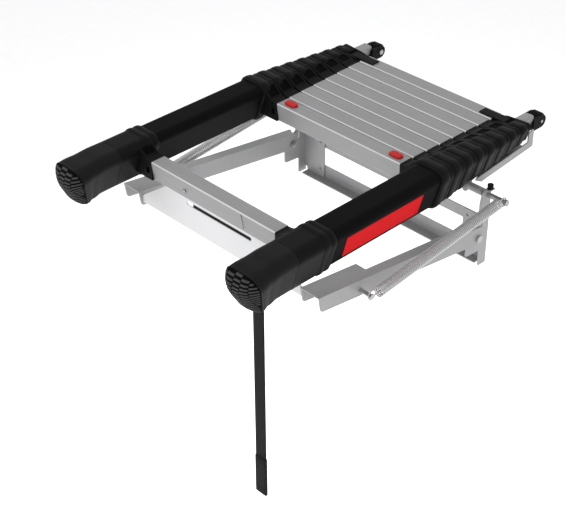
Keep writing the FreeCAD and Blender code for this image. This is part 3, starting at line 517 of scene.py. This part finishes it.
def smooth_between(keys, at):
    """Value of a soft curve through (position, value) keys."""
    if at <= keys[0][0]:
        return keys[0][1]
    for (a, low), (b, high) in zip(keys, keys[1:]):
        if at <= b:
            share = (at - a) / (b - a)
            return low + (high - low) * share * share * (3 - 2 * share)
    return keys[-1][1]


# ---- collars -------------------------------------------------------------------------------------
# Distance from a collar's front end and growth over the tube there, in mm.
SWELL = ((0, 1.0), (1.2, 3.2), (5, 4.9), (10.5, 5.0), (16, 4.3), (21, 2.0), (24, 1.5), (28, 2.1),
         (31.5, 2.0), (33, 0.9))
LONG_SWELL = ((0, 3.2), (50, 3.2), (57, 3.2), (60.5, 4.9), (66, 5.0), (71, 3.4), (73, 3.3),
              (76, 4.3), (81, 4.2), (84.5, 2.6), (86, 1.2))
LUG_DEEP, LUG_LONG = 36 * MM, 30 * MM
RAMP_SIDE = 3                # the ramp's place in the lug's outline
POCKET_RIM, POCKET_DEEP = 5.5 * MM, 1.3 * MM
NOTCH = (9 * MM, 12 * MM, 12 * MM)


def collar_skin(rung):
    """Ring of a collar: it swells round the tube, then closes onto the next, slimmer tube."""
    front = right_half(f"collars_{rung}")[0].y
    tube = OUTLINES[max(rung - 2, 0)]
    if rung == 1:
        swell, levels, closing, gap = LONG_SWELL, 60, tube, 0.05
    else:
        swell, levels, closing, gap = SWELL, 44, OUTLINES[min(rung - 1, 7)], 0.36
    length = swell[-1][0]
    rings = []
    for index in range(levels + 1):
        at = length * index / levels
        rings.append(stile_ring(tube, smooth_between(swell, at) * MM, front + at * MM))
    for outline, grow, at in ((closing, gap, length), (closing, gap, length - 3),
                              (tube, 0.05, length - 3.5), (tube, 0.05, 0)):
        rings.append(stile_ring(outline, grow * MM, front + at * MM))
    return lofted(rings, ends="looped")


def lug_outline(rung):
    """Outline of a lug from the front: its ramp runs from the ring's crest down to the tread."""
    low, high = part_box(f"rung_{rung}")
    half, top = high.x, high.z - 1.5 * MM
    bottom, inside = top - LUG_DEEP, CENTRE.x - 10 * MM
    spot, out = max(OUTLINES[max(rung - 2, 0)],
                    key=lambda pair: -0.5 * pair[0].x + 0.866 * pair[0].y)
    spot = spot + out * 2.7 * MM
    crest_x, crest_z = CENTRE.x + spot.x, CENTRE.y + spot.y
    return [(half, bottom), (inside, bottom), (inside, crest_z - 4 * MM), (crest_x, crest_z),
            (half + 15 * MM, top + 3.2 * MM), (half + 9 * MM, top + 0.6 * MM),
            (half + 4 * MM, top), (half, top)]


def lug_mesh(rung):
    """The block that holds the tread's end, with a pocket in its ramp whose floor has painted
    shade.
    """
    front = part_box(f"rung_{rung}")[0].y
    outline = lug_outline(rung)
    shape = bmesh.new()
    front_loop = [shape.verts.new((x, front, z)) for x, z in outline]
    rear_loop = [shape.verts.new((x, front + LUG_LONG, z)) for x, z in outline]
    front_face = shape.faces.new(front_loop)
    shape.faces.new(rear_loop[::-1])
    sides = []
    for index in range(len(outline)):
        follower = (index + 1) % len(outline)
        sides.append(shape.faces.new((front_loop[index], rear_loop[index],
                                      rear_loop[follower], front_loop[follower])))
    ramp = sides[RAMP_SIDE]
    bmesh.ops.recalc_face_normals(shape, faces=shape.faces)
    edges = [edge for edge in shape.edges
             if abs(edge.verts[0].co.x - edge.verts[1].co.x) < TINY
             or edge in ramp.edges or edge in front_face.edges]
    bmesh.ops.inset_region(shape, faces=[ramp], thickness=POCKET_RIM)
    inwards = -ramp.normal.copy()
    floor = bmesh.ops.extrude_discrete_faces(shape, faces=[ramp])["faces"][0]
    bmesh.ops.translate(shape, verts=floor.verts, vec=inwards * POCKET_DEEP)
    # The pocket's floor takes the second material, a darker grey: painted shade.
    floor.material_index = 1
    live = [edge for edge in edges if edge.is_valid]
    bmesh.ops.bevel(shape, geom=live, offset=0.8 * MM, segments=2, affect="EDGES", profile=0.5)
    mesh = fill(bpy.data.meshes.new(f"lug_{rung}"), shape)
    if rung > 2:
        return mesh
    half, top = outline[-1]
    return drill(mesh, (half + 10.5 * MM, front, top - 18 * MM), NOTCH)


def drill(mesh, place, room):
    """The mesh with a box-shaped notch cut into it."""
    shape = bmesh.new()
    turn = Matrix.Translation(Vector(place)) @ Matrix.Diagonal((*room, 1))
    bmesh.ops.create_cube(shape, size=1.0, matrix=turn)
    holder = link_object("holder", mesh)
    tool = link_object("tool", fill(bpy.data.meshes.new("tool"), shape))
    carve = holder.modifiers.new("carve", "BOOLEAN")
    carve.operation = "DIFFERENCE"
    carve.object = tool
    bpy.context.view_layer.update()
    shown = holder.evaluated_get(bpy.context.evaluated_depsgraph_get())
    carved = bpy.data.meshes.new_from_object(shown)
    for item in (holder, tool):
        bpy.data.objects.remove(item)
    return carved


def add_tabs(shape):
    """The flat tongues of the last collar, on the ends of the last tread."""
    low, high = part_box("rung_9")
    for side in (1, -1):
        centre = Vector((side * 160.5 * MM, low.y + 13.5 * MM, high.z + 1.5 * MM))
        turn = Matrix.Translation(centre) @ Matrix.Diagonal((58 * MM, 19 * MM, 2.9 * MM, 1))
        made = bmesh.ops.create_cube(shape, size=1.0, matrix=turn)
        edges = list({edge for vert in made["verts"] for edge in vert.link_edges})
        bmesh.ops.bevel(shape, geom=edges, offset=0.9 * MM, segments=3, affect="EDGES",
                        profile=0.5)


def make_collar(rung):
    """A collar's two rings and their lugs, as one piece."""
    mesh = mesh_from(f"collar_rings_{rung}", *mirrored(*collar_skin(rung)))
    lug = lug_mesh(rung)
    shape = bmesh.new()
    shape.from_mesh(mesh)
    for side in (1, -1):
        other = lug.copy()
        other.transform(Matrix.Diagonal((side, 1, 1, 1)))
        start = len(shape.faces)
        shape.from_mesh(other)
        shape.faces.ensure_lookup_table()
        if side < 0:
            bmesh.ops.reverse_faces(shape, faces=shape.faces[start:])
    if rung == 9:
        add_tabs(shape)
    fill(mesh, shape)
    body = "ladder_head" if rung == 9 else f"section_{max(rung - 1, 1)}"
    collar = add_object(f"collar_pair_{rung}", mesh, MATERIALS["collar"], body)
    # Second material: painted shade for the floors of the lug pockets.
    mesh.materials.append(MATERIALS["shade_and_dark"])
    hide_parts(f"collars_{rung}")


for collar_rung in range(1, 10):
    make_collar(collar_rung)


# ---- feet ----------------------------------------------------------------------------------------
LEAN = math.radians(18)      # how far the top of the sole leans forwards
FLARE = 79.7                 # mm from the boot's top to its widest section
RIM_GROW = 7.3
BOOT = {                     # distance below the boot's top in mm: growth, drop and lean
    "grow": ((0, 3.2), (31, 3.5), (54, 4.6), (72, 7.0), (FLARE, RIM_GROW)),
    "drop": ((0, 0.0), (29, 0.0), (54, 3.0), (FLARE, 6.0)),
    "lean": ((0, 0.0), (29, 0.0), (54, LEAN / 3), (FLARE, LEAN)),
}
BOOT_LEVELS, SOLE_LEVELS = 48, 40
BOOT_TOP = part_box("collars_1")[0].y - 0.3 * MM
RIM = [spot + out * RIM_GROW * MM for spot, out in OUTLINES[0]]
RIM_MIDDLE = sum(RIM, Vector((0, 0))) / len(RIM)
RIM_LOOP = [spot - RIM_MIDDLE for spot in RIM]
DOME = 20.0                  # mm that the sole bulges in its middle
DOME_UP, DOME_IN = 120.0, 100.0   # mm more for each metre upwards and inwards
ROW, COLUMN = 5.8 * MM, 15.0 * MM
BAR_REACH, BAR_STEPS = 0.45, 4    # half a bar's length in columns, and steps along it
BAR_SECTION = ((1.5, -0.6), (0.8, 1.7), (-0.8, 1.7), (-1.5, -0.6))   # up, out in mm


def rim_share(flat):
    """How far a spot lies from the sole's middle, as a share of the way to its rim."""
    return flat.length / reach_along(flat.normalized(), RIM_LOOP) if flat.length > TINY else 0.0


def sole_spot(flat, proud=0.0):
    """Point on the domed sole above a spot of its face, measured from the middle of the rim."""
    fade = 1 - min(1.0, rim_share(flat)) ** 2.5
    bulge = (DOME + DOME_UP * flat.y - DOME_IN * flat.x) * MM * fade + proud
    high = flat.y + RIM_MIDDLE.y - 6 * MM
    forward = BOOT_TOP - FLARE * MM - math.sin(LEAN) * high - math.cos(LEAN) * bulge
    return Vector((CENTRE.x + RIM_MIDDLE.x + flat.x, forward,
                   CENTRE.y + math.cos(LEAN) * high - math.sin(LEAN) * bulge))


def sole_bars():
    """Short grip bars across the sole, in columns that are staggered by half a row."""
    bars = []
    for column in range(-4, 5):
        for row in range(-18, 19):
            up = (row + 0.5 * (column % 2)) * ROW
            flats = [Vector(((column + BAR_REACH * step / BAR_STEPS) * COLUMN, up))
                     for step in range(-BAR_STEPS, BAR_STEPS + 1)]
            flats = [flat for flat in flats if flat.length > TINY and rim_share(flat) < 0.975]
            if len(flats) > 2:
                bars.append(lofted([[sole_spot(flat + Vector((0, rise * MM)), proud * MM)
                                     for rise, proud in BAR_SECTION] for flat in flats]))
    return joined(bars)


def boot_skin():
    """Boot of the right foot: a lip against the tube, the flaring boot and the domed sole."""
    rings = [stile_ring(OUTLINES[0], 0.1 * MM, BOOT_TOP)]
    for index in range(BOOT_LEVELS):
        at = FLARE * index / (BOOT_LEVELS - 1)
        grow, drop, lean = (smooth_between(BOOT[key], at) for key in ("grow", "drop", "lean"))
        rings.append(stile_ring(OUTLINES[0], grow * MM, BOOT_TOP - at * MM, drop * MM, lean))
    for index in range(1, SOLE_LEVELS + 1):
        share = math.cos(0.25 * TURN * index / SOLE_LEVELS * 0.99)
        rings.append([sole_spot(spot * share) for spot in RIM_LOOP])
    points, faces = lofted(rings, ends="open")
    faces.append(tuple(range(len(points) - STEP, len(points))))
    return points, faces


def make_foot(side, name):
    """Rubber boot that flares and leans into a domed sole with grip bars; the sole's face between
    the bars has painted shade, and the bars are a lighter grey as painted highlight.
    """
    pieces = []
    for part, (points, faces), finish in (("foot", boot_skin(), "rubber"),
                                          ("sole_bars", sole_bars(), "sole_bar_highlight")):
        points = [Vector((side * point.x, point.y, point.z)) for point in points]
        mesh = mesh_from(f"{part}_{name}", points, faces)
        pieces.append(add_object(f"{part}_{name}", mesh, MATERIALS[finish],
                                 "section_1"))
    boot = pieces[0]
    # Painted shade: the sole's face between the grip bars takes the darkest grey.
    boot.data.materials.append(MATERIALS["shade_and_dark"])
    for polygon in boot.data.polygons[BOOT_LEVELS * STEP:]:
        polygon.material_index = 1
    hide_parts(f"rubber_foot_{name}")


for foot_side, side_name in zip((1, -1), SIDES):
    make_foot(foot_side, side_name)


# ---- extension springs ---------------------------------------------------------------------------
WIRE_RADIUS, COIL_PITCH = 1.4 * MM, 4.0 * MM
COIL_STEPS, WIRE_SIDES = 18, 6


def make_spring(name):
    """A close-wound coil that stretches from its front hook to its rear end."""
    vertices = [v.co for v in NODES[f"spring_coil_{name}"].data.vertices]
    front_y, rear_y = min(co.y for co in vertices), max(co.y for co in vertices)
    front_ring = [co for co in vertices if co.y < front_y + 4 * MM]
    rear_ring = [co for co in vertices if co.y > rear_y - 4 * MM]
    front = sum(front_ring, Vector()) / len(front_ring)
    rear = sum(rear_ring, Vector()) / len(rear_ring)
    axis = (rear - front).normalized()
    outer = max((co - front - axis * axis.dot(co - front)).length for co in front_ring)
    u = Vector((1, 0, 0))
    v = axis.cross(u).normalized()
    length = (rear - front).length
    steps = int(length / COIL_PITCH) * COIL_STEPS
    rings = []
    for index in range(steps + 1):
        angle = TURN * index / COIL_STEPS
        out = u * math.cos(angle) + v * math.sin(angle)
        centre = front + axis * length * index / steps + out * (outer - WIRE_RADIUS)
        rings.append([centre + (out * cosine + axis * sine) * WIRE_RADIUS
                      for cosine, sine in circle(WIRE_SIDES)])
    coil = add_object(f"coil_spring_{name}", mesh_from(f"coil_spring_{name}", *lofted(rings)),
                      MATERIALS["spring"])
    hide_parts(f"spring_coil_{name}")
    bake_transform(coil)


for side_name in SIDES:
    make_spring(side_name)


# ---- buttons and wheels --------------------------------------------------------------------------
BUTTON_LEVELS = (            # share of the outline, height in mm
    (1.0, 0), (1.0, 1.6), (0.97, 2.6), (0.9, 3.3), (0.78, 3.7), (0.5, 3.9), (0.2, 4.0))
BUTTON_SQUARE = (0.55, 0.65)     # the powers that square off its outline
BUTTON_GAP = 0.2 * MM
GROOVE_PLACES = (-4.5, 0.0, 4.5)
GROOVE_HALF, GROOVE_FLOOR, GROOVE_DEEP = 0.9, 0.6, 0.9    # mm


def make_button(name):
    """Rounded thumb button with a raised rear half."""
    low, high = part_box(f"release_button_{name}")
    middle = (low + high) / 2
    half_long, half_wide = (high.x - low.x) / 2 - BUTTON_GAP, (high.y - low.y) / 2 - BUTTON_GAP
    base = high.z - 4.9 * MM
    rings = []
    for share, height in BUTTON_LEVELS:
        ring = []
        for cosine, sine in circle(64):
            x = math.copysign(abs(cosine) ** BUTTON_SQUARE[0], cosine) * half_long * share
            y = math.copysign(abs(sine) ** BUTTON_SQUARE[1], sine) * half_wide * share
            lift = 1.1 * MM * max(0.0, y / half_wide + 0.1) if height > 2 else 0.0
            ring.append(Vector((middle.x + x, middle.y + y, base + height * MM + lift)))
        rings.append(ring)
    cap = add_object(f"button_cap_{name}", mesh_from(f"button_cap_{name}", *lofted(rings)),
                     MATERIALS["button"], f"button_{name}")
    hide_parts(f"release_button_{name}")


def wheel_profile(half, radius):
    """Half the wheel's section in (x, radius) mm, mirrored across its middle."""
    flank = [(-half, 3.2), (-half, 6.0), (-half + 1.6, 6.6), (-half + 1.6, 9.6), (-half, 10.4),
             (-half, 13.2), (-half + 0.7, 14.4), (-half + 2, radius)]
    tyre = []
    for groove in GROOVE_PLACES:
        tyre.extend(((groove - GROOVE_HALF, radius), (groove - GROOVE_FLOOR, radius - GROOVE_DEEP),
                     (groove + GROOVE_FLOOR, radius - GROOVE_DEEP), (groove + GROOVE_HALF, radius)))
    return flank + tyre + [(-x, r) for x, r in reversed(flank)]


def make_wheel(name):
    """Guide wheel: rounded tyre with shallow grooves and a dished hub."""
    low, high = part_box(f"end_wheel_{name}")
    middle = (low + high) / 2
    profile = wheel_profile((high.x - low.x) / 2 / MM, (high.z - low.z) / 2 / MM)
    rings = [[middle + Vector((x, cosine * r, sine * r)) * MM for x, r in profile]
             for cosine, sine in circle(72)]
    mesh = mesh_from(f"wheel_{name}_tyre", *lofted(rings, ends="looped"))
    wheel = add_object(f"guide_wheel_{name}", mesh, MATERIALS["collar"],
                       f"wheel_{name}")
    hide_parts(f"end_wheel_{name}")


for side_name in SIDES:
    make_button(side_name)
    make_wheel(side_name)


# ---- details of the lowest tread and the front plate ---------------------------------------------
SCREW_PLACE = (-68 * MM, 169 * MM)
SCREW_PARTS = (("washer", 3.6, 0.3, "shade_and_dark"), ("screw", 2.9, 0.8, "pin"))
SCREW_DOME = ((1.0, -0.3), (1.0, 0.5), (0.8, 0.9), (0.3, 1.0))    # share of the radius, lift
MARK_ENDS = ((73.5, 187.5), (80, 162))
MARK_SECTION = ((-0.4, -0.2), (-0.4, 0.12), (0.4, 0.12), (0.4, -0.2))


def slab(name, low, high, soften):
    """A bevelled block between two corners."""
    low, high = Vector(low), Vector(high)
    shape = bmesh.new()
    turn = Matrix.Translation((low + high) / 2) @ Matrix.Diagonal((*(high - low), 1))
    bmesh.ops.create_cube(shape, size=1.0, matrix=turn)
    bmesh.ops.bevel(shape, geom=shape.edges[:], offset=soften * MM, segments=3, affect="EDGES",
                    profile=0.5)
    return fill(bpy.data.meshes.new(name), shape)


def make_plate_details():
    """The grey strip behind the plate's slot, with a dark strip along its lower edge that is
    painted shadow.
    """
    low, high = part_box("front_plate")
    behind, top = low.y + 2.6 * MM, high.z
    for name, start, end, soften, finish, slot in (
            ("slot_strip", (-68 * MM, behind, top - 22 * MM),
             (86 * MM, behind + 2 * MM, top - 11.5 * MM), 0.4, "tread", "zinc_steel"),
            # Dark strip along the slot's lower edge: painted shadow.
            ("slot_edge", (-66 * MM, behind - 1.6 * MM, top - 21.2 * MM),
             (81 * MM, behind + 0.2 * MM, top - 17.4 * MM), 0.6, "webbing", "black_plastic")):
        add_object(name, slab(name, start, end, soften), MATERIALS[finish], "swing_cradle")


def make_tread_details():
    """Domed screw head and the slanted saw mark on the front of the lowest tread."""
    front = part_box("rung_1")[0].y
    screw_x, screw_z = SCREW_PLACE
    for name, reach, rise, finish in SCREW_PARTS:
        rings = [[Vector((screw_x + cosine * reach * share * MM, front - lift * rise * MM,
                          screw_z + sine * reach * share * MM)) for cosine, sine in circle(32)]
                 for share, lift in SCREW_DOME]
        add_object(f"tread_{name}", mesh_from(f"tread_{name}", *lofted(rings)), MATERIALS[finish],
                   "section_1")
    rings = [[Vector(((x + across) * MM, front - proud * MM, z * MM))
              for across, proud in MARK_SECTION] for x, z in MARK_ENDS]
    add_object("tread_mark", mesh_from("tread_mark", *lofted(rings), smooth=False),
               MATERIALS["shade_and_dark"], "section_1")


make_plate_details()
make_tread_details()
